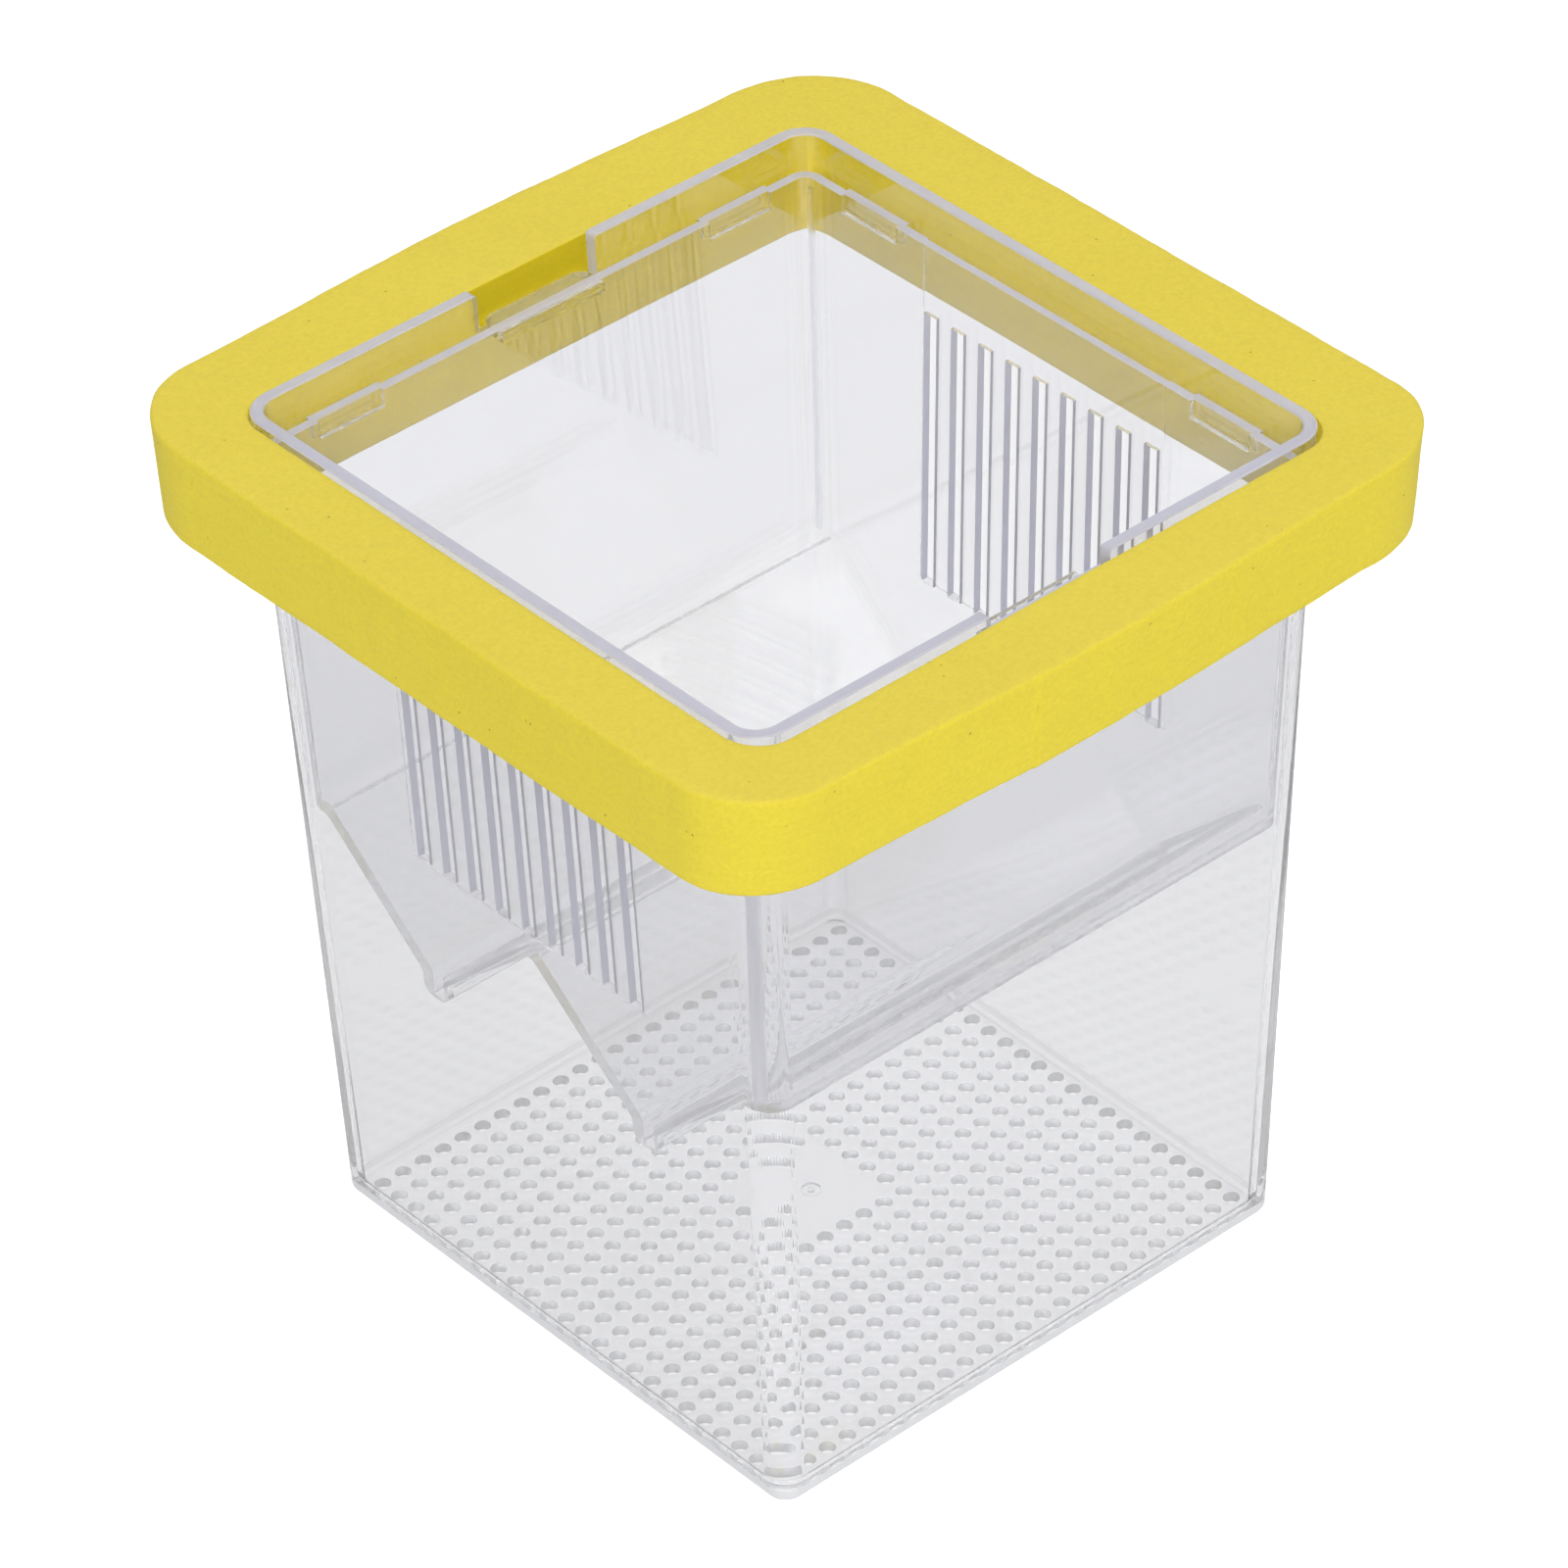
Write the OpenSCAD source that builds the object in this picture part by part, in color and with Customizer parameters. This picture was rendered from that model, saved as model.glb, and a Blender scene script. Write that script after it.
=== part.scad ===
// Floating fish breeding box: a clear tapered tub with a perforated floor, a clear
// breeding insert with a W-shaped floor that hangs in it by two tabs, and a foam
// float ring round the rim.
// +Z is up. The origin is at the centre of the tub floor's underside.

/* [Tub] */
// Length of the tub rim outside, along X
rim_l = 114; // [100:1:140]
// Width of the tub rim outside, along Y
rim_w = 112; // [100:1:140]
// Height of the tub
tub_h = 147; // [130:1:180]
// Distance that each wall leans inward from the rim down to the floor
draft = 5.25; // [2:0.25:6]
// Wall thickness of the tub
tub_wall = 2.1; // [1.6:0.1:2.6]
// Floor thickness of the tub
tub_floor = 1.8; // [1.4:0.1:3]
// Radius of the tub's upright corners at the rim
rim_r = 6; // [5:0.5:9]
// Radius of the tub's upright corners at the floor
foot_r = 3.4; // [3:0.2:5]

/* [Floor holes] */
// Spacing of the floor holes
hole_pitch = 4; // [3.8:0.05:4]
// Diameter of the floor holes
hole_d = 2.6; // [1.8:0.1:2.8]
// Number of floor holes in each row
hole_rows = 24; // [18:2:24]
// Number of holes left out each way at the gate in the middle
blank_rows = 4; // [2:2:6]
// Diameter of the gate's shallow dimple
gate_d = 3.2; // [2:0.2:4]

/* [Hanging notches] */
// Width of the notch in each X wall of the tub
notch_w = 23; // [22:0.5:30]
// Depth of each notch below the rim
notch_d = 7.5; // [7:0.5:12]

/* [Insert] */
// Clearance between the insert and the tub wall
insert_gap = 0.8; // [0.7:0.1:1.2]
// Wall thickness of the insert
insert_wall = 1.6; // [1.2:0.1:2]
// Radius of the insert's upright corners
insert_r = 3.2; // [2.5:0.1:4]
// Depth of the insert from its top edge to the underside of its ledges
insert_d = 65; // [55:1:75]

/* [W-shaped floor] */
// Distance of each trough from the middle
trough_x = 24; // [22:0.5:26]
// Distance from the middle at which each side ledge starts
ledge_x = 47; // [44:0.5:48]
// Depth of the troughs below the ledges, down to the lips
trough_d = 18.5; // [12:0.5:24]
// Height of the lips under each trough
lip_h = 4; // [2:0.5:6]
// Width of the drop slot between the lips
drop_w = 2.4; // [2:0.1:3]

/* [Water slots] */
// Number of water slots in each end wall
slot_n = 9; // [3:2:9]
// Spacing of the water slots
slot_pitch = 6; // [5:0.25:6]
// Width of a water slot
slot_w = 2.8; // [1.5:0.1:3]
// Length of a water slot
slot_l = 49; // [30:1:50]
// Distance of the slots below the insert's top edge
slot_drop = 12; // [9:0.5:14]

/* [Tabs and pads] */
// Length of each hanging tab, along Y
tab_l = 20; // [14:0.5:21]
// Thickness of each hanging tab
tab_t = 1.5; // [1.2:0.1:2]
// Length of each centring pad
pad_l = 13.5; // [8:0.5:16]
// Distance of each pad's middle from the middle of its wall
pad_x = 38; // [36:0.5:39]

/* [Float ring] */
// Width of the foam all round
ring_w = 14; // [10:0.1:20]
// Thickness of the foam
ring_h = 17; // [12:0.5:25]
// Radius of the ring's outer corners
ring_r = 17; // [12:0.5:24]
// Depth of the ring's top face below the rim
ring_drop = 0.7; // [0:0.1:3]

/* [Hidden] */

over = 1;             // how far a cut runs past the face it opens
corner_n = 16;        // facets in each upright corner
round_n = 4;          // facets in each edge rounding
edge_r = 0.25;        // chamfer of the rim's edges
foot_edge_r = 1.2;    // rounding under the tub floor
floor_fillet = 2;     // fillet between the tub's floor and walls, inside
notch_r = 0.8;        // rounding of the notches' corners
gate_t = 0.5;         // depth of the gate's dimple
gate_pin_d = 1;       // diameter of the stub left in its middle
ring_gap = 0.3;       // clearance between the ring and the rim
ring_edge_r = 0.8;    // rounding of the foam's cut edges

insert_top = tub_h - notch_d + tab_t;
ledge_z = insert_top - insert_d;
insert_inset = tub_wall + insert_gap;
inner_inset = insert_inset + insert_wall;

// Half of the tub's outside length and width at height z
function half_l(z) = rim_l / 2 - draft * (1 - z / tub_h);
function half_w(z) = rim_w / 2 - draft * (1 - z / tub_h);

// Points of a rounded rectangle at height z, counter-clockwise
function ring_points(l, w, r, z) = [
    for (c = [0:3])
        for (k = [0:corner_n])
            let (a = 90 * (c + k / corner_n),
                 x = (c == 0 || c == 3 ? 1 : -1) * (l - r),
                 y = (c < 2 ? 1 : -1) * (w - r))
            [x + r * cos(a), y + r * sin(a), z]
];

// Solid through a stack of rounded rectangles, each [z, half length, half width, radius]
module loft(levels) {
    m = 4 * (corner_n + 1);
    last = m * (len(levels) - 1);
    polyhedron(
        points = [for (v = levels) each ring_points(v[1], v[2], v[3], v[0])],
        faces = [
            [for (i = [0:m - 1]) i],
            [for (i = [m - 1:-1:0]) last + i],
            for (s = [0:len(levels) - 2])
                for (i = [0:m - 1])
                    [s * m + i, (s + 1) * m + i, (s + 1) * m + (i + 1) % m, s * m + (i + 1) % m]
        ]
    );
}

// One level of the tub's tapered form, moved in from the outer face by inset
function tub_level(z, inset, r) = [z, half_l(z) - inset, half_w(z) - inset, r];

// Levels of a rounding of radius r under a tapered form that starts at height z
function foot_levels(z, inset, r, corner) = [
    for (k = [0:round_n])
        let (a = 90 * k / round_n)
        tub_level(z + r * (1 - cos(a)), inset + r * (1 - sin(a)), corner - r * (1 - sin(a)))
];

// ---- Outlines with rounded corners ----

function unit(v) = v / norm(v);

// Arc that replaces corner b between points a and c, with radius r
function corner_arc(a, b, c, r) =
    let (u = unit(a - b),
         v = unit(c - b),
         half = acos(u * v) / 2,
         start = b + u * r / tan(half),
         centre = b + unit(u + v) * r / sin(half),
         turn = (180 - 2 * half) * sign(u[0] * v[1] - u[1] * v[0]),
         from = atan2(start[1] - centre[1], start[0] - centre[0]))
    [for (k = [0:round_n])
        let (t = from - turn * k / round_n)
        centre + r * [cos(t), sin(t)]];

// Outline through points given as [x, z, corner radius]
function rounded_outline(p) = [
    for (i = [0:len(p) - 1])
        let (a = p[(i + len(p) - 1) % len(p)],
             b = p[i],
             c = p[(i + 1) % len(p)])
        each b[2] == 0
            ? [[b[0], b[1]]]
            : corner_arc([a[0], a[1]], [b[0], b[1]], [c[0], c[1]], b[2])
];

// ---- Tub ----

// Columns and rows of the floor holes, counted from the middle
hole_steps = [for (k = [0:hole_rows - 1]) k - (hole_rows - 1) / 2];

module floor_holes() {
    for (i = hole_steps, j = hole_steps)
        if (abs(i) > blank_rows / 2 || abs(j) > blank_rows / 2)
            translate([i * hole_pitch, j * hole_pitch, -over])
                cylinder(d = hole_d, h = tub_floor + 2 * over, $fn = 24);
}

// Ring-shaped dimple in the top of the floor, where the plastic flowed in
module gate_mark() {
    translate([0, 0, tub_floor - gate_t])
        difference() {
            cylinder(d = gate_d, h = gate_t + over, $fn = 24);
            cylinder(d = gate_pin_d, h = gate_t, $fn = 24);
        }
}

// The hanging notches, cut through both X walls at once
module notches() {
    half = notch_w / 2;
    flare = half + 2 * notch_r;
    side = [
        [half, tub_h - notch_d, notch_r],
        [half, tub_h, notch_r],
        [flare, tub_h, 0],
        [flare, tub_h + over, 0]
    ];
    far_side = [for (k = [len(side) - 1:-1:0]) [-side[k][0], side[k][1], side[k][2]]];
    rotate([90, 0, 90])
        linear_extrude(rim_l + 2 * over, center = true)
            polygon(rounded_outline(concat(side, far_side)));
}

module outer_box() {
    color([0.9, 0.92, 0.95, 0.35])
    difference() {
        loft(concat(
            foot_levels(0, 0, foot_edge_r, foot_r),
            [tub_level(tub_h - edge_r, 0, rim_r),
             tub_level(tub_h, edge_r, rim_r - edge_r)]
        ));
        loft(concat(
            foot_levels(tub_floor, tub_wall, floor_fillet, foot_r - tub_wall + floor_fillet),
            [tub_level(tub_h - edge_r, tub_wall, rim_r - tub_wall),
             tub_level(tub_h + over, tub_wall - edge_r - over, rim_r - tub_wall + edge_r + over)]
        ));
        floor_holes();
        gate_mark();
        notches();
    }
}

// ---- Breeding insert ----

lip_x = drop_w / 2 + insert_wall;   // outside of a lip, from the middle of its trough
trough_z = ledge_z - trough_d;      // underside of the sloping plates at the lips
lip_z = trough_z - lip_h;           // lower end of the lips
ledge_t = 1.8;                      // thickness of the ledges
plate_r = 1.5;                      // rounding where plates meet
lip_r = 2;                          // rounding of the lips' lower ends

// Height of the top face of a sloping plate at x, where its underside runs from p to q
function plate_top(p, q, x) =
    let (slope = (q[1] - p[1]) / (q[0] - p[0]))
    p[1] + slope * (x - p[0]) + insert_wall * sqrt(1 + slope * slope);

// The point of that top face at height z
function plate_x(p, q, z) =
    let (slope = (q[1] - p[1]) / (q[0] - p[0]))
    p[0] + (z - p[1] - insert_wall * sqrt(1 + slope * slope)) / slope;

inner_foot = [trough_x - lip_x, trough_z];
outer_foot = [trough_x + lip_x, trough_z];
apex = [0, ledge_z];
ledge_edge = [ledge_x, ledge_z];

// Underside of the W, from the middle out to +X
w_under = [
    [apex[0], apex[1], plate_r],
    [inner_foot[0], inner_foot[1], plate_r],
    [inner_foot[0], lip_z, lip_r],
    [outer_foot[0], lip_z, lip_r],
    [outer_foot[0], outer_foot[1], plate_r],
    [ledge_edge[0], ledge_edge[1], plate_r],
    [rim_l / 2, ledge_z, 0]
];

// Top of the W, from the middle out to +X, with the drop slot open below
w_top = [
    [apex[0], plate_top(inner_foot, apex, apex[0]), plate_r],
    [trough_x - drop_w / 2, plate_top(inner_foot, apex, trough_x - drop_w / 2), plate_r],
    [trough_x - drop_w / 2, lip_z - over, 0],
    [trough_x + drop_w / 2, lip_z - over, 0],
    [trough_x + drop_w / 2, plate_top(outer_foot, ledge_edge, trough_x + drop_w / 2), plate_r],
    [plate_x(outer_foot, ledge_edge, ledge_z + ledge_t), ledge_z + ledge_t, plate_r],
    [rim_l / 2, ledge_z + ledge_t, 0]
];

// The whole area above a W line, which is mirrored about the middle
module above_w(line) {
    right = [for (i = [1:len(line) - 1]) line[i]];
    left = [for (i = [len(line) - 1:-1:1]) [-line[i][0], line[i][1], line[i][2]]];
    polygon(rounded_outline(concat(
        left, [line[0]], right,
        [[rim_l / 2, tub_h, 0], [-rim_l / 2, tub_h, 0]]
    )));
}

// The insert's tapered form, moved in from the tub's outer face by inset
module insert_form(inset, r, top) {
    loft([tub_level(lip_z - 2 * over, inset, r), tub_level(top, inset, r)]);
}

// That form cut off below by a W line
module w_block(line, inset, r, top) {
    intersection() {
        insert_form(inset, r, top);
        rotate([90, 0, 0])
            linear_extrude(2 * rim_w, center = true)
                above_w(line);
    }
}

slot_z = insert_top - slot_drop - slot_l;    // lower end of the slots
panel_edge = 0.8;                            // how far the panel runs past the outer slots
panel_t = 0.25;                              // depth of the panel
panel_l = (slot_n - 1) * slot_pitch + slot_w + 2 * panel_edge;

module water_slots() {
    for (k = [0:slot_n - 1])
        translate([(k - (slot_n - 1) / 2) * slot_pitch - slot_w / 2, -rim_w / 2, slot_z])
            cube([slot_w, rim_w, slot_l]);
}

// Shallow recess round the slots, in the outside of both end walls up to the top edge
module slot_panels() {
    difference() {
        translate([-panel_l / 2, -rim_w / 2, slot_z])
            cube([panel_l, rim_w, slot_l + slot_drop + over]);
        insert_form(insert_inset + panel_t, insert_r, tub_h);
    }
}

pad_t = 0.65;   // how far a pad stands out of the wall
pad_h = 3;      // height of a pad

// Places its child at a pad: +X points out of the wall, the origin is on its outer face
module at_pads() {
    for (side = [-1, 1], where = [-pad_x, pad_x]) {
        translate([side * (half_l(insert_top) - insert_inset), where, insert_top - pad_h])
            rotate([0, 0, side > 0 ? 0 : 180])
                children();
        translate([where, side * (half_w(insert_top) - insert_inset), insert_top - pad_h])
            rotate([0, 0, side * 90])
                children();
    }
}

tab_out = rim_l / 2 - ring_gap;                              // outer edge of a tab
tab_lip = 1.2;                                               // how far a tab reaches inside the insert
tab_in = half_l(insert_top) - inner_inset - tab_lip;         // inner edge of a tab
tab_r = 2.5;                                                 // rounding of a tab's outer corners

module tab() {
    translate([0, 0, insert_top - tab_t])
        linear_extrude(tab_t) {
            translate([tab_in, -tab_l / 2])
                square([tab_out - tab_r - tab_in, tab_l]);
            translate([tab_in, tab_r - tab_l / 2])
                square([tab_out - tab_in, tab_l - 2 * tab_r]);
            for (y = [tab_r - tab_l / 2, tab_l / 2 - tab_r])
                translate([tab_out - tab_r, y])
                    circle(tab_r, $fn = 32);
        }
}

module breeding_insert() {
    color([0.88, 0.9, 0.94, 0.35])
    difference() {
        union() {
            difference() {
                w_block(w_under, insert_inset, insert_r, insert_top);
                w_block(w_top, inner_inset, insert_r - insert_wall, insert_top + over);
            }
            at_pads()
                translate([-insert_wall / 2, -pad_l / 2, 0])
                    cube([insert_wall / 2 + pad_t, pad_l, pad_h]);
            tab();
            mirror([1, 0, 0]) tab();
        }
        at_pads()
            translate([-insert_wall - over, pad_t - pad_l / 2, 0])
                cube([pad_t + over, pad_l - 2 * pad_t, pad_h + over]);
        slot_panels();
        water_slots();
    }
}

// ---- Float ring ----

ring_top = tub_h - ring_drop;
ring_l = rim_l / 2 + ring_gap + ring_w;   // half of the ring's length
ring_b = rim_w / 2 + ring_gap + ring_w;   // half of the ring's breadth

// Levels of a foam edge, rounded below the top face or above the bottom face
function ring_levels(bottom, up) = [
    for (k = [0:round_n])
        let (a = 90 * k / round_n,
             inset = ring_edge_r * (1 - sin(a)),
             rise = ring_edge_r * (1 - cos(a)))
        [bottom + up * rise, ring_l - inset, ring_b - inset, ring_r - inset]
];

module foam_ring() {
    under = ring_levels(ring_top - ring_h, 1);
    above = ring_levels(ring_top, -1);
    color([0.9, 0.82, 0.3])
    difference() {
        loft(concat(under, [for (k = [round_n:-1:0]) above[k]]));
        translate([0, 0, ring_top - ring_h - over])
            linear_extrude(ring_h + 2 * over)
                rounded_square(rim_l / 2 + ring_gap, rim_w / 2 + ring_gap, rim_r + ring_gap);
    }
}

// Rectangle of half length l and half width w with round corners
module rounded_square(l, w, r) {
    square([2 * l, 2 * (w - r)], center = true);
    square([2 * (l - r), 2 * w], center = true);
    for (x = [r - l, l - r], y = [r - w, w - r])
        translate([x, y])
            circle(r, $fn = 64);
}

outer_box();
breeding_insert();
foam_ring();
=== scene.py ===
"""Looks of the fish breeding box: clear tub, clear insert with a W-shaped floor, foam ring."""
import math
from collections import namedtuple

import bmesh
import bpy
from mathutils import Euler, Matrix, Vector, noise


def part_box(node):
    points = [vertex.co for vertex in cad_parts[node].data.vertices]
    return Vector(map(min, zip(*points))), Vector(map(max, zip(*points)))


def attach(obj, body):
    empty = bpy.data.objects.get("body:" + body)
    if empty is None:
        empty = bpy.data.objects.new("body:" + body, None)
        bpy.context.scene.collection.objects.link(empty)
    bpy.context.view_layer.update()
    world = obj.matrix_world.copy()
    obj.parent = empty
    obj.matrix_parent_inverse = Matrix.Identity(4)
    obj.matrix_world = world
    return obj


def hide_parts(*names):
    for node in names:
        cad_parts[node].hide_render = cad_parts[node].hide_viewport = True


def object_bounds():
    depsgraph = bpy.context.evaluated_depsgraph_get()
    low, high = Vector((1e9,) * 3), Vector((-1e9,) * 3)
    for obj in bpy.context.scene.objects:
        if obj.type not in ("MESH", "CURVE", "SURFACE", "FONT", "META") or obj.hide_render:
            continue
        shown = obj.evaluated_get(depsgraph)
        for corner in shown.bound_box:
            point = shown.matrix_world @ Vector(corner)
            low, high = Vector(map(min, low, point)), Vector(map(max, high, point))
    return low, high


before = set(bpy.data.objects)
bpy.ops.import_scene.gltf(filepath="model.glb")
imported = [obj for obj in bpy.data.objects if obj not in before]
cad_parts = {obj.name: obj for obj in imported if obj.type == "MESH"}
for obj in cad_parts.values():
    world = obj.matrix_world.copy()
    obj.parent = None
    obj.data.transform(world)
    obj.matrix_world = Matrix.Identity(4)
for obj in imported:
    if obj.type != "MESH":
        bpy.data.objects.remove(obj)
cad_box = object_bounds()
scene = bpy.context.scene

MM = 0.001

# ---------------------------------------------------------------- node helpers


def new_material(name):
    mat = bpy.data.materials.new(name)
    mat.use_nodes = True
    mat.node_tree.nodes.clear()
    return mat, mat.node_tree


def put(tree, value, socket):
    """Links a socket to an input, or writes a number or colour into it."""
    if isinstance(value, bpy.types.NodeSocket):
        tree.links.new(value, socket)
    elif isinstance(value, tuple) and len(value) == 3 and socket.type == "RGBA":
        socket.default_value = (*value, 1)
    else:
        socket.default_value = value


def math_node(tree, operation, a, b):
    node = tree.nodes.new("ShaderNodeMath")
    node.operation = operation
    put(tree, a, node.inputs[0])
    put(tree, b, node.inputs[1])
    return node.outputs[0]


def mix_value(tree, factor, a, b):
    node = tree.nodes.new("ShaderNodeMix")
    put(tree, factor, node.inputs["Factor"])
    put(tree, a, node.inputs["A"])
    put(tree, b, node.inputs["B"])
    return node.outputs["Result"]


def mix_colour(tree, factor, a, b, blend="MIX"):
    node = tree.nodes.new("ShaderNodeMix")
    node.data_type = "RGBA"
    node.blend_type = blend
    put(tree, factor, node.inputs["Factor"])
    first, second = (s for s in node.inputs if s.type == "RGBA")
    put(tree, a, first)
    put(tree, b, second)
    return next(s for s in node.outputs if s.type == "RGBA")


def remap(tree, value, low, high, to_low, to_high):
    node = tree.nodes.new("ShaderNodeMapRange")
    for key, v in zip(("From Min", "From Max", "To Min", "To Max"), (low, high, to_low, to_high)):
        node.inputs[key].default_value = v
    put(tree, value, node.inputs["Value"])
    return node.outputs["Result"]


def place(tree, stretch=(1, 1, 1), shift=0.0):
    """Object coordinates in metres, stretched and shifted."""
    coords = tree.nodes.new("ShaderNodeTexCoord")
    mapping = tree.nodes.new("ShaderNodeMapping")
    mapping.inputs["Scale"].default_value = stretch
    mapping.inputs["Location"].default_value = (shift, shift, shift)
    put(tree, coords.outputs["Object"], mapping.inputs["Vector"])
    return mapping.outputs["Vector"]


def noise_node(tree, vector, scale, detail=2.0, roughness=0.5):
    node = tree.nodes.new("ShaderNodeTexNoise")
    node.inputs["Scale"].default_value = scale
    node.inputs["Detail"].default_value = detail
    node.inputs["Roughness"].default_value = roughness
    put(tree, vector, node.inputs["Vector"])
    return node.outputs["Fac"]


def bump(tree, height, strength, distance, normal=None):
    node = tree.nodes.new("ShaderNodeBump")
    node.inputs["Strength"].default_value = strength
    node.inputs["Distance"].default_value = distance
    put(tree, height, node.inputs["Height"])
    if normal is not None:
        put(tree, normal, node.inputs["Normal"])
    return node.outputs["Normal"]


def axes_of(tree):
    """Outputs for the place (x, y, z) and the object normal (nx, ny, nz) of a face."""
    coords = tree.nodes.new("ShaderNodeTexCoord")
    axes = {}
    for prefix, socket in (("", "Object"), ("n", "Normal")):
        split = tree.nodes.new("ShaderNodeSeparateXYZ")
        put(tree, coords.outputs[socket], split.inputs[0])
        for axis, output in zip("xyz", split.outputs):
            axes[prefix + axis] = output
    return axes


def under(limit):
    """All sizes below the limit."""
    return (-1, limit)


def face_mask(tree, limits, signed=""):
    """1 on faces whose place, in mm, and object normal are within all limits.

    The signs are left out, so that a mask takes both sides, but for the axes named in signed."""
    axes = axes_of(tree)
    mask = 1.0
    for axis, (low, high) in limits.items():
        unit = 1.0 if axis.startswith("n") else MM
        size = axes[axis] if axis in signed else math_node(tree, "ABSOLUTE", axes[axis], 0.0)
        mask = math_node(tree, "MULTIPLY", mask, math_node(tree, "GREATER_THAN", size, low * unit))
        mask = math_node(tree, "MULTIPLY", mask, math_node(tree, "LESS_THAN", size, high * unit))
    return mask


# Object normals for face_mask: along the axis, away from it, and facing up with the chamfers
FLAT = (0.9, 1.1)
SIDEWAYS = under(0.5)
UPWARD = (0.3, 1.1)

# ---------------------------------------------------------------- clear polystyrene

IOR_STYRENE = 1.58
MIRRORING = 0.12        # specular level, at which 0.5 is bare plastic
TINT = (0.918, 0.919, 0.931)
HAZE_TINT = tuple(c * 1.012 for c in TINT)
# Colour and density per metre of what the plastic takes out of light that runs inside it
DEPTH_TINT = (0.84, 0.84, 0.88)
DEPTH_DENSITY = 14.0
# What one surface leaves of light that goes straight through, as a lamp's does
STRAIGHT_TINT = (0.98, 0.98, 0.98)
CLEARNESS = 0.998       # the share of light that a surface doesn't scatter
# Faces seen at a flat angle let light straight through, over this span of Layer Weight's Facing
# and up to this share
GLANCING = (0.72, 0.95)
GLANCING_CLEAR = 0.8
# Where Fresnel says that a surface throws light wholly back into the plastic, this share leaks out
WHOLLY_BACK = 0.95
LEAK = 0.35
# Noise scales per metre of the haze, the dust specks and the flow waves
HAZE, SPECKS, WAVES = 60.0, 900.0, 28.0
HAZE_SPAN, HAZE_ROUGHNESS = (0.35, 0.75), (0.004, 0.018)
SPECK_SPAN, SPECK_ROUGHNESS = (0.72, 0.78), (0.0, 0.10)
WAVE_STRENGTH, WAVE_HEIGHT = 0.06, 0.6 * MM

# A duller finish of the moulding, which on some faces is painted light and shade: its colour, the
# share that stays clear, its roughness, and the shares of light that go straight through it from
# outside and from inside
FinishAndPaintedLight = namedtuple("FinishAndPaintedLight", "colour clear rough from_outside from_inside")
# Painted shade: a lavender grey on the cut edges of the clear plastic, for the look that light
# running inside the walls gives them
EDGE_PAINTED_SHADE = (0.66, 0.66, 0.78)
HOLE_WALL = FinishAndPaintedLight((0.84, 0.85, 0.88), 0.10, 0.50, 0.70, 0.92)
FOOT_SIDE = FinishAndPaintedLight((0.79, 0.79, 0.82), 0.12, 0.80, 0.05, 0.75)
# The foot's lower edge and the top edges get this painted shade
FOOT_EDGE = FinishAndPaintedLight(EDGE_PAINTED_SHADE, 0.12, 0.80, 0.05, 0.75)
TOP_EDGE_PAINTED_SHADE = FinishAndPaintedLight(EDGE_PAINTED_SHADE, 0.40, 0.25, 0.0, 0.15)
NOTCH_BOTTOM_PAINTED_LIGHT = FinishAndPaintedLight((0.92, 0.80, 0.20), 0.20, 0.50, 0.70, 0.70)   # painted light: the foam's yellow, as seen through the tab, painted on
SOFT_CORNER = FinishAndPaintedLight((0.93, 0.93, 1.00), 0.94, 0.35, 0.10, 0.35)
# Painted shade: grey stripes on the side walls of the water slots
SLOT_WALL_PAINTED_SHADE = FinishAndPaintedLight((0.60, 0.60, 0.70), 0.15, 0.50, 0.08, 0.08)

# Places in mm, from the middle outward and from the ground up
RIM_Z = cad_box[1][2] / MM
INSERT_Z = RIM_Z - 6.0                              # the insert's top edge
NOTCH_Z = RIM_Z - 7.5                               # bottoms of the notches
NOTCH_HALF = 11.5
FLOOR_TOP = 1.8
FOOT_EDGE_TOP = 0.35
HOLES_END = 48.5
TAB_HALF = 10.2
WALL_AT_TAB = (52.2, 54.0)
END_WALLS = (44, 54)
SLOTS_END = 25.6
SLOTS_Z = (INSERT_Z - 62, INSERT_Z - 11)
NEAR = 0.2                                          # allowance round a level
WIDEST = 60                                         # past every wall of the tub
TUB_X_WALL = {"x": (50, WIDEST)}
TUB_Y_WALL = {"y": (49, WIDEST)}
TUB_WALLS = (TUB_X_WALL, TUB_Y_WALL)
# The part of each of the insert's upright corners that turns out of an end wall
CORNER = {"x": (49, WIDEST), "y": (48, WIDEST), "z": (60, INSERT_Z - 2),
          "nx": (0.10, 0.62), "ny": (0.75, 0.99)}
HOLES = {"x": under(HOLES_END), "y": under(HOLES_END),
         "z": under(FLOOR_TOP + 0.1), "nz": under(0.35)}

TUB_FACES = (
    (HOLES, HOLE_WALL),
    *(({**wall, "z": under(FLOOR_TOP + 0.7), "nz": SIDEWAYS}, FOOT_SIDE) for wall in TUB_WALLS),
    *(({**wall, "z": under(FOOT_EDGE_TOP), "nz": SIDEWAYS}, FOOT_EDGE) for wall in TUB_WALLS),
    ({"z": (RIM_Z - 0.5, RIM_Z + 1), "nz": UPWARD}, TOP_EDGE_PAINTED_SHADE),
    # upright ends and bottoms of the notches: painted shade on the ends, painted yellow light from
    # the foam on the bottoms
    ({**TUB_X_WALL, "y": under(NOTCH_HALF + 2.5), "z": (NOTCH_Z + NEAR, RIM_Z), "ny": FLAT},
     TOP_EDGE_PAINTED_SHADE),
    ({**TUB_X_WALL, "y": under(NOTCH_HALF + 0.5), "z": (NOTCH_Z - NEAR, NOTCH_Z + NEAR),
      "nz": FLAT}, NOTCH_BOTTOM_PAINTED_LIGHT),
)
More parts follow.
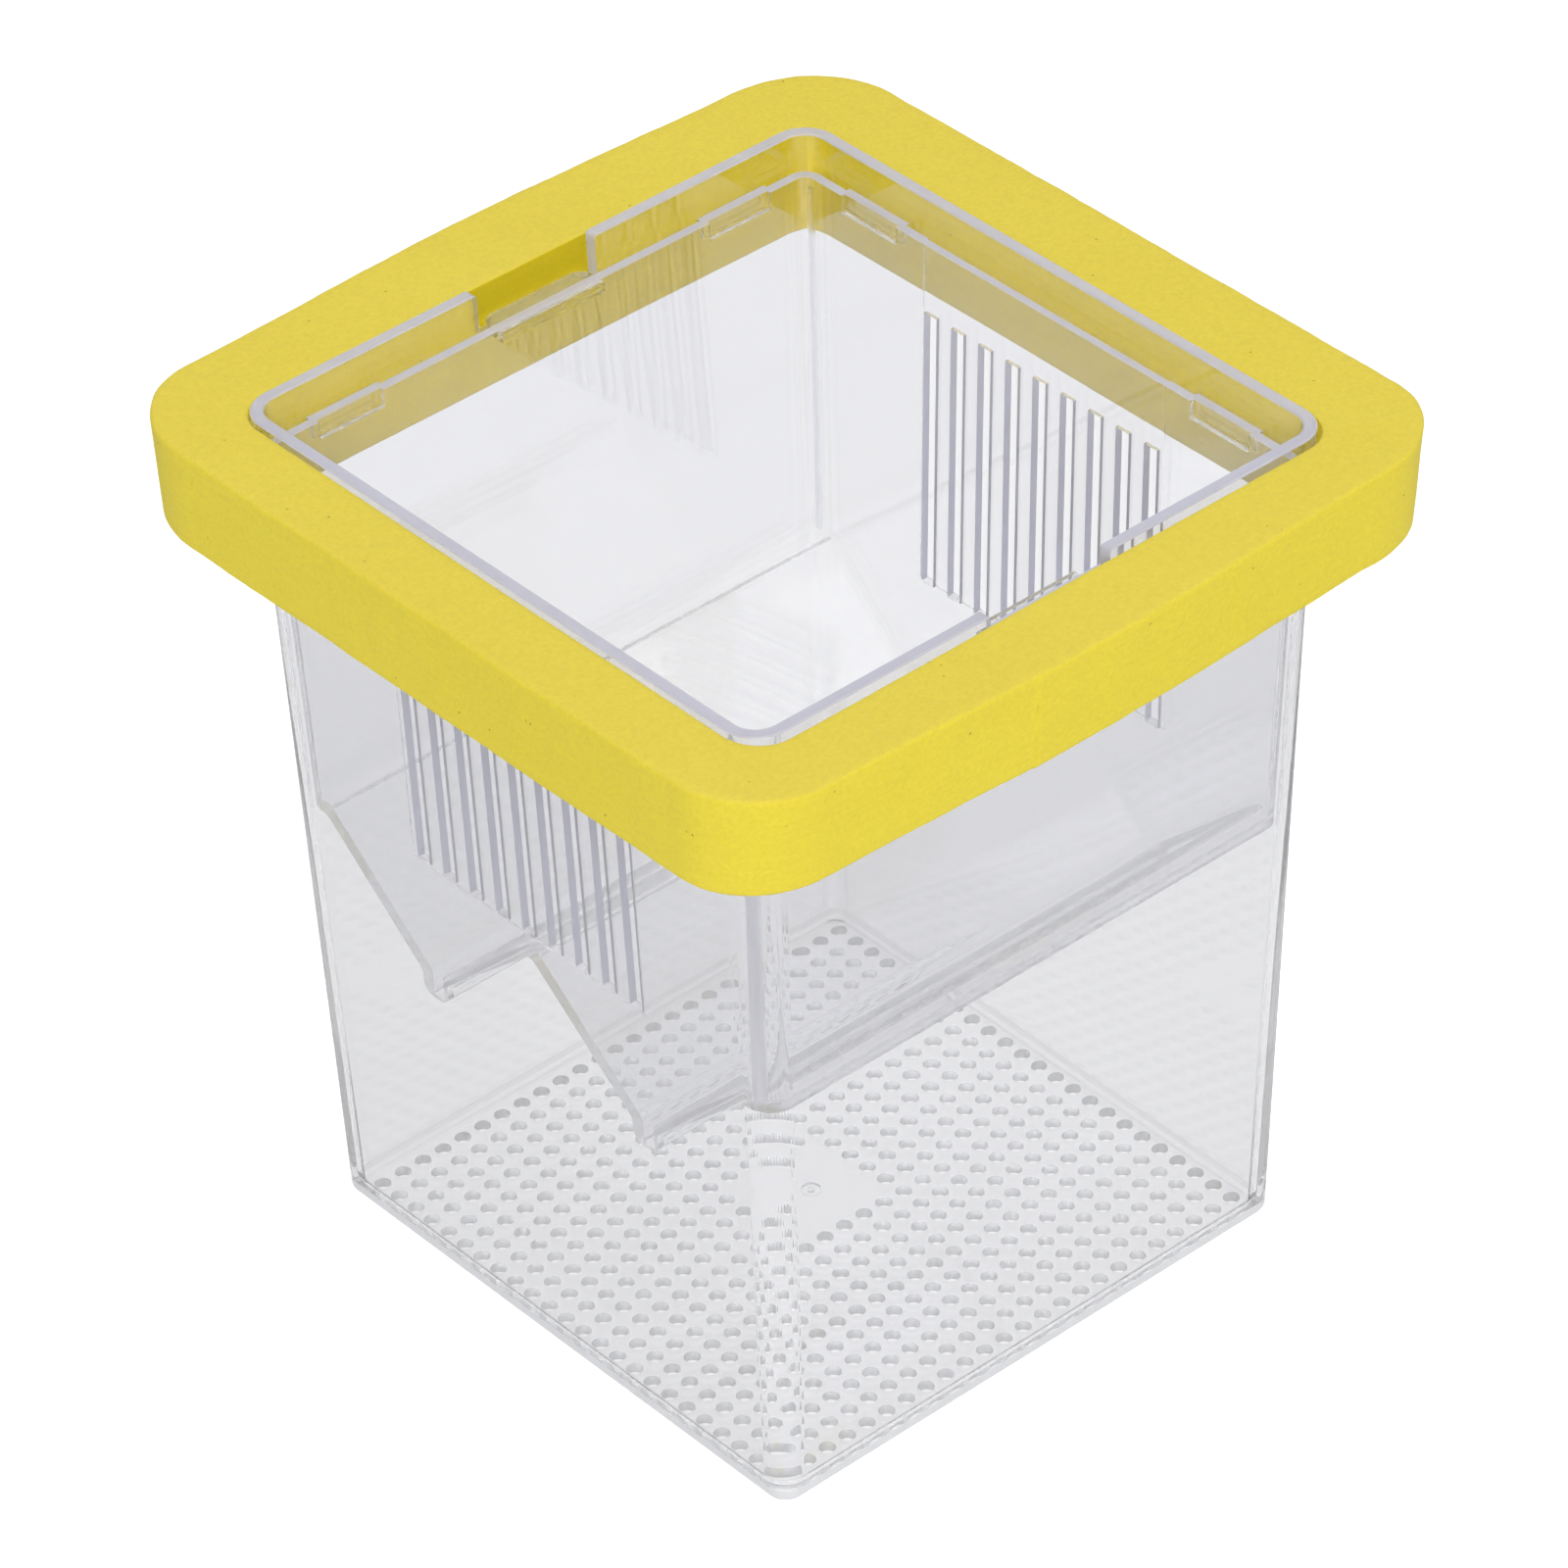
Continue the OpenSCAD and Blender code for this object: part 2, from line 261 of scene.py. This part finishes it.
INSERT_FACES = (
    (CORNER, SOFT_CORNER),
    # side walls of the water slots, with painted shade
    ({"x": under(SLOTS_END), "y": END_WALLS, "z": SLOTS_Z, "nx": FLAT}, SLOT_WALL_PAINTED_SHADE),
    # top edge, with painted shade; at the tabs, only the wall's own width
    ({"y": (TAB_HALF, WIDEST), "z": (INSERT_Z - 0.5, INSERT_Z + NEAR), "nz": UPWARD}, TOP_EDGE_PAINTED_SHADE),
    ({"x": WALL_AT_TAB, "y": under(TAB_HALF), "z": (INSERT_Z - NEAR, INSERT_Z + NEAR), "nz": FLAT},
     TOP_EDGE_PAINTED_SHADE),
)


def clear_plastic(name, shift, faces):
    """Clear moulded polystyrene: flow waves, haze, dust specks and the duller finishes of faces,
    with painted shade and light on some of them.
    """
    mat, tree = new_material(name)
    here = place(tree, shift=shift)
    haze = noise_node(tree, here, HAZE, 4.0, 0.6)
    specks = noise_node(tree, here, SPECKS, 2.0, 0.7)
    rough = math_node(tree, "ADD", remap(tree, haze, *HAZE_SPAN, *HAZE_ROUGHNESS),
                      remap(tree, specks, *SPECK_SPAN, *SPECK_ROUGHNESS))
    colour = mix_colour(tree, haze, TINT, HAZE_TINT)
    clear = CLEARNESS
    weight = tree.nodes.new("ShaderNodeLayerWeight")
    glancing = remap(tree, weight.outputs["Facing"], *GLANCING, 0.0, GLANCING_CLEAR)
    fresnel = tree.nodes.new("ShaderNodeFresnel")
    fresnel.inputs["IOR"].default_value = IOR_STYRENE
    leak = remap(tree, fresnel.outputs[0], WHOLLY_BACK, 1.0, 0.0, LEAK)
    straight = math_node(tree, "MAXIMUM", glancing, leak)
    inside = tree.nodes.new("ShaderNodeNewGeometry").outputs["Backfacing"]
    # Some faces get painted shade, and the notch bottoms get painted yellow light from the foam
    for limits, finish_and_painted_light in faces:
        mask = face_mask(tree, limits)
        colour = mix_colour(tree, mask, colour, finish_and_painted_light.colour)
        clear = mix_value(tree, mask, clear, finish_and_painted_light.clear)
        rough = mix_value(tree, mask, rough, finish_and_painted_light.rough)
        share = mix_value(tree, inside, finish_and_painted_light.from_outside, finish_and_painted_light.from_inside)
        straight = mix_value(tree, mask, straight, share)
    waves = noise_node(tree, here, WAVES, 1.5, 0.5)
    glass = tree.nodes.new("ShaderNodeBsdfPrincipled")
    glass.inputs["IOR"].default_value = IOR_STYRENE
    glass.inputs["Specular IOR Level"].default_value = MIRRORING
    put(tree, colour, glass.inputs["Base Color"])
    put(tree, clear, glass.inputs["Transmission Weight"])
    put(tree, rough, glass.inputs["Roughness"])
    put(tree, bump(tree, waves, WAVE_STRENGTH, WAVE_HEIGHT), glass.inputs["Normal"])
    unbent = tree.nodes.new("ShaderNodeBsdfTransparent")
    unbent.inputs["Color"].default_value = (*STRAIGHT_TINT, 1)
    path = tree.nodes.new("ShaderNodeLightPath")
    mix = tree.nodes.new("ShaderNodeMixShader")
    put(tree, math_node(tree, "MAXIMUM", path.outputs["Is Shadow Ray"], straight), mix.inputs[0])
    put(tree, glass.outputs[0], mix.inputs[1])
    put(tree, unbent.outputs[0], mix.inputs[2])
    depth = tree.nodes.new("ShaderNodeVolumeAbsorption")
    depth.inputs["Color"].default_value = (*DEPTH_TINT, 1)
    depth.inputs["Density"].default_value = DEPTH_DENSITY
    out = tree.nodes.new("ShaderNodeOutputMaterial")
    put(tree, mix.outputs[0], out.inputs["Surface"])
    put(tree, depth.outputs[0], out.inputs["Volume"])
    return mat


WELD = 2e-7             # corners of the CAD mesh nearer than this are one
SMOOTH_UNDER = 24       # degrees


def smooth_by_angle(obj):
    """Welds the CAD faces and shades them smooth, but for the sharper edges."""
    group = bpy.data.node_groups.new(f"{obj.name}_smooth", "GeometryNodeTree")
    group.interface.new_socket("Geometry", in_out="INPUT", socket_type="NodeSocketGeometry")
    group.interface.new_socket("Geometry", in_out="OUTPUT", socket_type="NodeSocketGeometry")
    start = group.nodes.new("NodeGroupInput")
    end = group.nodes.new("NodeGroupOutput")
    weld = group.nodes.new("GeometryNodeMergeByDistance")
    weld.inputs["Distance"].default_value = WELD
    drop = group.nodes.new("GeometryNodeRemoveAttribute")
    drop.inputs["Name"].default_value = "custom_normal"
    angle = group.nodes.new("GeometryNodeInputMeshEdgeAngle")
    flat = group.nodes.new("FunctionNodeCompare")
    flat.data_type, flat.operation = "FLOAT", "LESS_THAN"
    flat.inputs[1].default_value = math.radians(SMOOTH_UNDER)
    faces = group.nodes.new("GeometryNodeSetShadeSmooth")
    faces.domain = "FACE"
    edges = group.nodes.new("GeometryNodeSetShadeSmooth")
    edges.domain = "EDGE"
    group.links.new(angle.outputs[0], flat.inputs[0])
    group.links.new(flat.outputs[0], edges.inputs["Shade Smooth"])
    chain = (start, weld, drop, faces, edges, end)
    for source, target in zip(chain, chain[1:]):
        group.links.new(source.outputs[0], target.inputs[0])
    obj.modifiers.new("smooth", "NODES").node_group = group


for node, faces, shift in (("outer_box", TUB_FACES, 0.0), ("breeding_insert", INSERT_FACES, 3.7)):
    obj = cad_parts[node]
    obj.data.materials.clear()
    obj.data.materials.append(clear_plastic(f"clear_{node}", shift, faces))
    smooth_by_angle(obj)

# ---------------------------------------------------------------- foam ring

ring_low, ring_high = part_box("foam_ring")
RING_CORNER = 17 * MM
HOLE = (57.2 * MM, 56.3 * MM)       # half length and half width of the hole for the rim
HOLE_CORNER = 6.3 * MM
EDGE = 0.6 * MM                     # rounding of the outer cut edges
INNER_EDGE = 0.35 * MM
BESIDE = 0.8 * MM                   # extra row of faces beside each edge, to keep it crisp
SIDE_STEPS, CORNER_STEPS, ARC_STEPS = 96, 24, 3
SEAM_Y = -15.5 * MM                 # the ring's butt joint, in its +X side
SEAM_HALF = 0.06 * MM
SEAM_CLEAR = 3 * SEAM_HALF          # other steps keep this far from the seam
SEAM_STEP = 0.22 * MM               # one side of the joint stands out this far
SEAM_FADE = 12 * MM                 # and dies away over this length
# How far each side of the hand-cut, slightly stretched ring stands out of the plain outline, in mm:
# at its ends, further in its middle, and further at the bottom than at the top
STANDS_OUT = {
    "+x": (-1.7, 1.8, -1.3),
    "-x": (0.1, 1.7, -1.5),
    "+y": (0.8, 0.0, -1.4),
    "-y": (-2.0, 0.0, -0.3),
}
BULGE_LENGTH = 120 * MM
LOOSE = 0.7 * MM                    # the ring sits this far away from the rim on its +X side
# Height in mm and scale per metre of the waves in the ring's sides and in its top and bottom
SIDE_WAVES, SIDE_GRAIN = (0.16, 160), (0.06, 700)
FLAT_WAVES, FLAT_GRAIN = (0.22, 28), (0.05, 300)


def outline(half_l, half_w, radius):
    """Points (x, y, nx, ny) of a rounded rectangle, anticlockwise from its corner at +X, +Y."""
    points = []
    for turn, (sx, sy) in enumerate(((1, 1), (-1, 1), (-1, -1), (1, -1))):
        cx, cy = sx * (half_l - radius), sy * (half_w - radius)
        for k in range(CORNER_STEPS + 1):
            a = math.radians(90 * (turn + k / CORNER_STEPS))
            nx, ny = math.cos(a), math.sin(a)
            points.append((cx + radius * nx, cy + radius * ny, nx, ny))
        x0, y0, nx, ny = points[-1]
        length = 2 * ((half_l if turn % 2 == 0 else half_w) - radius)
        steps = [length * k / SIDE_STEPS for k in range(1, SIDE_STEPS)]
        if turn == 3:
            # Two steps stand close beside the seam, and the side keeps its number of steps
            at_seam = SEAM_Y - y0
            steps = sorted([s for s in steps if abs(s - at_seam) > SEAM_CLEAR]
                           + [at_seam - SEAM_HALF, at_seam + SEAM_HALF])
            steps = steps[:SIDE_STEPS - 1]
        points += [(x0 - ny * s, y0 + nx * s, nx, ny) for s in steps]
    return points


def stands_out(side, bulge, depth):
    ends, middle, down = STANDS_OUT[side]
    return (ends + middle * bulge + down * depth) * MM


def stretch(x, y, nx, ny, depth):
    """How far the ring stands out of the plain outline; depth is 0 at the top, 1 at the bottom."""
    bulge = math.cos(math.pi * max(-0.5, min(0.5, y / BULGE_LENGTH))) ** 2
    along_x = stands_out("+x" if nx > 0 else "-x", bulge, depth)
    along_y = stands_out("-y" if ny < 0 else "+y", bulge, depth)
    broad = SIDE_WAVES[0] * noise.noise(Vector((x, y, 0.01 * depth)) * SIDE_WAVES[1])
    fine = SIDE_GRAIN[0] * noise.noise(Vector((x, y, 0)) * SIDE_GRAIN[1])
    past_seam = (y - SEAM_Y) / SEAM_FADE
    seam = 0.0
    if nx > 0.99 and 0 < past_seam < 1:
        seam = SEAM_STEP * (0.4 + 0.6 * depth) * (1 - past_seam)
    return nx * nx * along_x + ny * ny * along_y + (broad + fine) * MM + seam


def lift(x, y):
    """How far the ring's wavy faces stand above their plain level."""
    height, scale = FLAT_WAVES
    broad = height * noise.noise(Vector((x * scale + 7, y * scale, 2.0)))
    fine = FLAT_GRAIN[0] * noise.noise(Vector((x, y, 0)) * FLAT_GRAIN[1])
    return (broad + fine) * MM


def foam_profile(top, bottom):
    """Rows (side, inset, height) of the ring's section, anticlockwise from the lower outer edge.

    On the top and the bottom, the inset is a share of the way from the outer edge to the inner."""
    def arc(side, radius, z, up, from_flat):
        """A rounded edge at height z, from the flat face or to it; up is 1 at the top, -1 below."""
        rows = []
        for k in range(ARC_STEPS + 1):
            a = math.radians(90 * k / ARC_STEPS)
            if from_flat:
                a = math.pi / 2 - a
            rows.append((side, radius * (1 - math.cos(a)), z - up * radius * (1 - math.sin(a))))
        return rows

    height = top - bottom
    outer_rows = (BESIDE + EDGE, height * 0.3, height * 0.5, height * 0.7, height - BESIDE - EDGE)
    inner_rows = (height - BESIDE, height * 0.5, BESIDE)
    rows = arc("outer", EDGE, bottom, -1, True)
    rows += [("outer", 0.0, bottom + h) for h in outer_rows]
    rows += arc("outer", EDGE, top, 1, False)
    rows += [("top", share, top) for share in (0.07, 0.2, 0.35, 0.5, 0.65, 0.8, 0.93)]
    rows += arc("inner", INNER_EDGE, top, 1, True)
    rows += [("inner", 0.0, bottom + h) for h in inner_rows]
    rows += arc("inner", INNER_EDGE, bottom, -1, False)
    rows += [("bottom", share, bottom) for share in (0.93, 0.5, 0.07)]
    return rows


def foam_mesh():
    outer = outline(ring_high.x, ring_high.y, RING_CORNER)
    inner = outline(HOLE[0], HOLE[1], HOLE_CORNER)
    profile = foam_profile(ring_high.z, ring_low.z)
    height = ring_high.z - ring_low.z
    bm = bmesh.new()
    grid = []
    for (ox, oy, onx, ony), (ix, iy, inx, iny) in zip(outer, inner):
        line = []
        loose = LOOSE * max(0.0, inx) ** 2
        for side, value, z in profile:
            reach = stretch(ox, oy, onx, ony, (ring_high.z - z) / height)
            if side == "outer":
                x, y = ox + onx * (reach - value), oy + ony * (reach - value)
            elif side == "inner":
                x, y = ix + inx * (loose + value), iy + iny * (loose + value)
            else:
                ax, ay = ox + onx * (reach - EDGE), oy + ony * (reach - EDGE)
                bx, by = ix + inx * (loose + INNER_EDGE), iy + iny * (loose + INNER_EDGE)
                x, y = ax + (bx - ax) * value, ay + (by - ay) * value
            line.append(bm.verts.new((x, y, z + lift(x, y))))
        grid.append(line)
    n, m = len(grid), len(profile)
    for i in range(n):
        here, after = grid[i], grid[(i + 1) % n]
        for j in range(m):
            bm.faces.new((here[j], after[j], after[(j + 1) % m], here[(j + 1) % m]))
    for face in bm.faces:
        face.smooth = True
    bm.normal_update()
    mesh = bpy.data.meshes.new("foam_float")
    bm.to_mesh(mesh)
    bm.free()
    return mesh


# Pairs are the two ends of a broad, cloudy mix
FOAM_TOP = ((0.785, 0.630, 0.066), (0.820, 0.675, 0.084))
# Painted light: the sides' colour is lighter than the top's, to make up for the light that they
# miss
FOAM_SIDE_PAINTED_LIGHT = ((0.845, 0.688, 0.051), (0.870, 0.722, 0.061))
# The sides that show only through clear walls get little light. Painted light makes them lighter
# low down and painted shade darker higher up, with the X sides darker than the Y sides: colours
# below and above a blend
HIDDEN_ON_Y_PAINTED_LIGHT = ((0.99, 0.77, 0.010), (0.85, 0.665, 0.010))
HIDDEN_ON_X_PAINTED_LIGHT = ((0.91, 0.700, 0.010), (0.74, 0.575, 0.010))
HIDDEN_PAINTED_SHADE_BLEND = (0.136, 0.142)       # heights in metres
HIDDEN_X, HIDDEN_Y = 58.6, 57.0     # mm from the middle within which the sides are hidden ones
HIDDEN_CORNER_Y = 54.5              # mm within which such a side is one of the X sides
PORE_COLOUR = (0.36, 0.26, 0.02)
SEAM_COLOUR = (0.50, 0.38, 0.02)
# Noise scales per metre
CLOUDS, GRAIN, CELLS, PORE_PATCHES = 35.0, 1500.0, 420.0, 170.0
KNIFE_MARKS = (60, 60, 1500)
FOAM_DULLNESS = (0.3, 0.7, 0.65, 0.90)      # span of the grain, and the roughness at its ends
# Strength and height of the relief
GRAIN_RELIEF, CELL_RELIEF, KNIFE_RELIEF = (0.35, 0.15 * MM), (0.10, 0.2 * MM), (0.12, 0.15 * MM)
# How strongly the grain, the knife marks and the seam darken the foam
GRAIN_SHARE, KNIFE_SHARE, SEAM_SHARE = 0.22, 0.08, 0.5
PORE_EDGE = (0.05, 0.11)            # distance from a cell's middle over which its pore ends
PORE_LIMIT = (0.60, 0.64)           # only cells where the patches' noise is above this have one
SEAM_FACES = {"nx": FLAT, "x": (60, 80), "y": (SEAM_Y / MM - 0.1, SEAM_Y / MM + 0.1),
              "z": (129, 141)}


def foam_material():
    """Closed-cell EVA foam: fine grain, sparse pores and knife marks along the cut sides, with
    painted light and shade on the sides.
    """
    mat, tree = new_material("float_foam")
    here = place(tree)
    side_facing = {"nz": under(0.6)}
    upright = face_mask(tree, side_facing)
    hidden = face_mask(tree, {"x": under(HIDDEN_X), "y": under(HIDDEN_Y), **side_facing})
    hidden_x_side = face_mask(
        tree, {"x": under(HIDDEN_X), "y": under(HIDDEN_CORNER_Y), **side_facing})
    seam = face_mask(tree, SEAM_FACES, "xy")
    broad = noise_node(tree, here, CLOUDS, 3.0, 0.55)
    fine = noise_node(tree, here, GRAIN, 3.0, 0.6)
    knife = noise_node(tree, place(tree, KNIFE_MARKS), 1.0, 3.0, 0.6)
    cells = tree.nodes.new("ShaderNodeTexVoronoi")
    cells.inputs["Scale"].default_value = CELLS
    put(tree, here, cells.inputs["Vector"])
    pores = remap(tree, cells.outputs["Distance"], *PORE_EDGE, 1.0, 0.0)
    sparse = remap(tree, noise_node(tree, here, PORE_PATCHES, 1.0, 0.5), *PORE_LIMIT, 0.0, 1.0)
    painted_shade_up = remap(tree, axes_of(tree)["z"], *HIDDEN_PAINTED_SHADE_BLEND, 0.0, 1.0)
    body = mix_colour(tree, upright,
                      mix_colour(tree, broad, *FOAM_TOP), mix_colour(tree, broad, *FOAM_SIDE_PAINTED_LIGHT))
    # Painted light and shade on the sides that show only through clear walls
    body = mix_colour(tree, hidden, body, mix_colour(tree, painted_shade_up, *HIDDEN_ON_Y_PAINTED_LIGHT))
    body = mix_colour(tree, hidden_x_side, body, mix_colour(tree, painted_shade_up, *HIDDEN_ON_X_PAINTED_LIGHT))
    body = mix_colour(tree, GRAIN_SHARE, body, fine, "MULTIPLY")
    knife_share = math_node(tree, "MULTIPLY", upright, KNIFE_SHARE)
    body = mix_colour(tree, knife_share, body, knife, "MULTIPLY")
    body = mix_colour(tree, math_node(tree, "MULTIPLY", pores, sparse), body, PORE_COLOUR)
    body = mix_colour(tree, math_node(tree, "MULTIPLY", seam, SEAM_SHARE), body, SEAM_COLOUR)
    foam = tree.nodes.new("ShaderNodeBsdfPrincipled")
    put(tree, body, foam.inputs["Base Color"])
    put(tree, remap(tree, fine, *FOAM_DULLNESS), foam.inputs["Roughness"])
    foam.inputs["Specular IOR Level"].default_value = 0.2
    foam.inputs["Sheen Weight"].default_value = 0.05
    normal = bump(tree, fine, *GRAIN_RELIEF)
    normal = bump(tree, cells.outputs["Distance"], *CELL_RELIEF, normal)
    normal = bump(tree, math_node(tree, "MULTIPLY", knife, upright), *KNIFE_RELIEF, normal)
    put(tree, normal, foam.inputs["Normal"])
    out = tree.nodes.new("ShaderNodeOutputMaterial")
    put(tree, foam.outputs[0], out.inputs["Surface"])
    return mat


foam = bpy.data.objects.new("foam_float", foam_mesh())
scene.collection.objects.link(foam)
foam.data.materials.append(foam_material())
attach(foam, "float")
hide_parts("foam_ring")

# ---------------------------------------------------------------- studio

# What the backdrop and the floor show to each kind of ray
Levels = namedtuple("Levels", "soft mirrored through_plastic seen soft_through_plastic")
SKY = Levels(0.80, 0.12, 1.00, 1.00, 2.10)
PAPER = Levels(0.80, 0.16, 0.15, 0.80, 0.80)
PAPER_LIFT = Levels(0.00, 0.00, 0.86, 0.40, 0.20)


def by_ray(tree, levels):
    """The level for the kind of ray that asks."""
    path = tree.nodes.new("ShaderNodeLightPath")
    scattered = math_node(tree, "MINIMUM", path.outputs["Diffuse Depth"], 1.0)
    through = mix_value(tree, scattered, levels.through_plastic, levels.soft_through_plastic)
    level = mix_value(tree, path.outputs["Is Glossy Ray"], levels.soft, levels.mirrored)
    level = mix_value(tree, path.outputs["Is Transmission Ray"], level, through)
    return mix_value(tree, path.outputs["Is Camera Ray"], level, levels.seen)


world = bpy.data.worlds.new("studio")
scene.world = world
world.use_nodes = True
world_tree = world.node_tree
world_tree.nodes.clear()
sky = world_tree.nodes.new("ShaderNodeBackground")
sky.inputs["Color"].default_value = (1, 1, 1, 1)
put(world_tree, by_ray(world_tree, SKY), sky.inputs["Strength"])
world_out = world_tree.nodes.new("ShaderNodeOutputWorld")
put(world_tree, sky.outputs[0], world_out.inputs["Surface"])

HALF_FLOOR = 4.0
FLOOR_Z = -0.2 * MM
floor_mesh = bpy.data.meshes.new("floor")
floor_mesh.from_pydata(
    [(x * HALF_FLOOR, y * HALF_FLOOR, FLOOR_Z) for x, y in ((-1, -1), (1, -1), (1, 1), (-1, 1))],
    [], [(0, 1, 2, 3)])
floor = bpy.data.objects.new("floor", floor_mesh)
scene.collection.objects.link(floor)
floor_mat, floor_tree = new_material("floor_paper")
paper = floor_tree.nodes.new("ShaderNodeBsdfDiffuse")
put(floor_tree, by_ray(floor_tree, PAPER), paper.inputs["Color"])
glow = floor_tree.nodes.new("ShaderNodeEmission")
glow.inputs["Color"].default_value = (1, 1, 1, 1)
put(floor_tree, by_ray(floor_tree, PAPER_LIFT), glow.inputs["Strength"])
both = floor_tree.nodes.new("ShaderNodeAddShader")
put(floor_tree, paper.outputs[0], both.inputs[0])
put(floor_tree, glow.outputs[0], both.inputs[1])
floor_out = floor_tree.nodes.new("ShaderNodeOutputMaterial")
put(floor_tree, both.outputs[0], floor_out.inputs["Surface"])
floor_mesh.materials.append(floor_mat)

AIM = Vector((0, 0, 0.1))


def softbox(name, where, side, power):
    lamp = bpy.data.lights.new(name, "AREA")
    lamp.size = side
    lamp.energy = power
    obj = bpy.data.objects.new(name, lamp)
    scene.collection.objects.link(obj)
    obj.location = where
    obj.rotation_euler = (AIM - Vector(where)).to_track_quat("-Z", "Y").to_euler()
    obj.visible_glossy = False


softbox("key_softbox", (0.98, -0.62, 0.88), 0.9, 8.0)
softbox("top_softbox", (-0.3, 0.4, 1.3), 1.0, 2.0)

# ---------------------------------------------------------------- camera

# Fitted to the straight edges of the rim, the floor and the foam in the photo
CAMERA_AT = (0.733645, -0.628447, 0.813347)
CAMERA_TURN = (52.79872, 1.70460, 48.54943)     # degrees

cam = bpy.data.cameras.new("camera")
cam.sensor_width = 36.0
cam.lens = 186.18
cam.shift_x, cam.shift_y = 0.0249, -0.0002
cam.clip_start, cam.clip_end = 0.05, 20.0
camera = bpy.data.objects.new("camera", cam)
scene.collection.objects.link(camera)
camera.location = CAMERA_AT
camera.rotation_euler = Euler([math.radians(a) for a in CAMERA_TURN], "XYZ")
scene.camera = camera

# Light bounces many times inside clear walls, and between them
THROUGH_PLASTIC = 128

scene.view_settings.view_transform = "Standard"
scene.cycles.max_bounces = THROUGH_PLASTIC
scene.cycles.transmission_bounces = THROUGH_PLASTIC
scene.cycles.glossy_bounces = THROUGH_PLASTIC
scene.cycles.diffuse_bounces = 4
scene.cycles.transparent_max_bounces = 48
scene.cycles.caustics_reflective = False
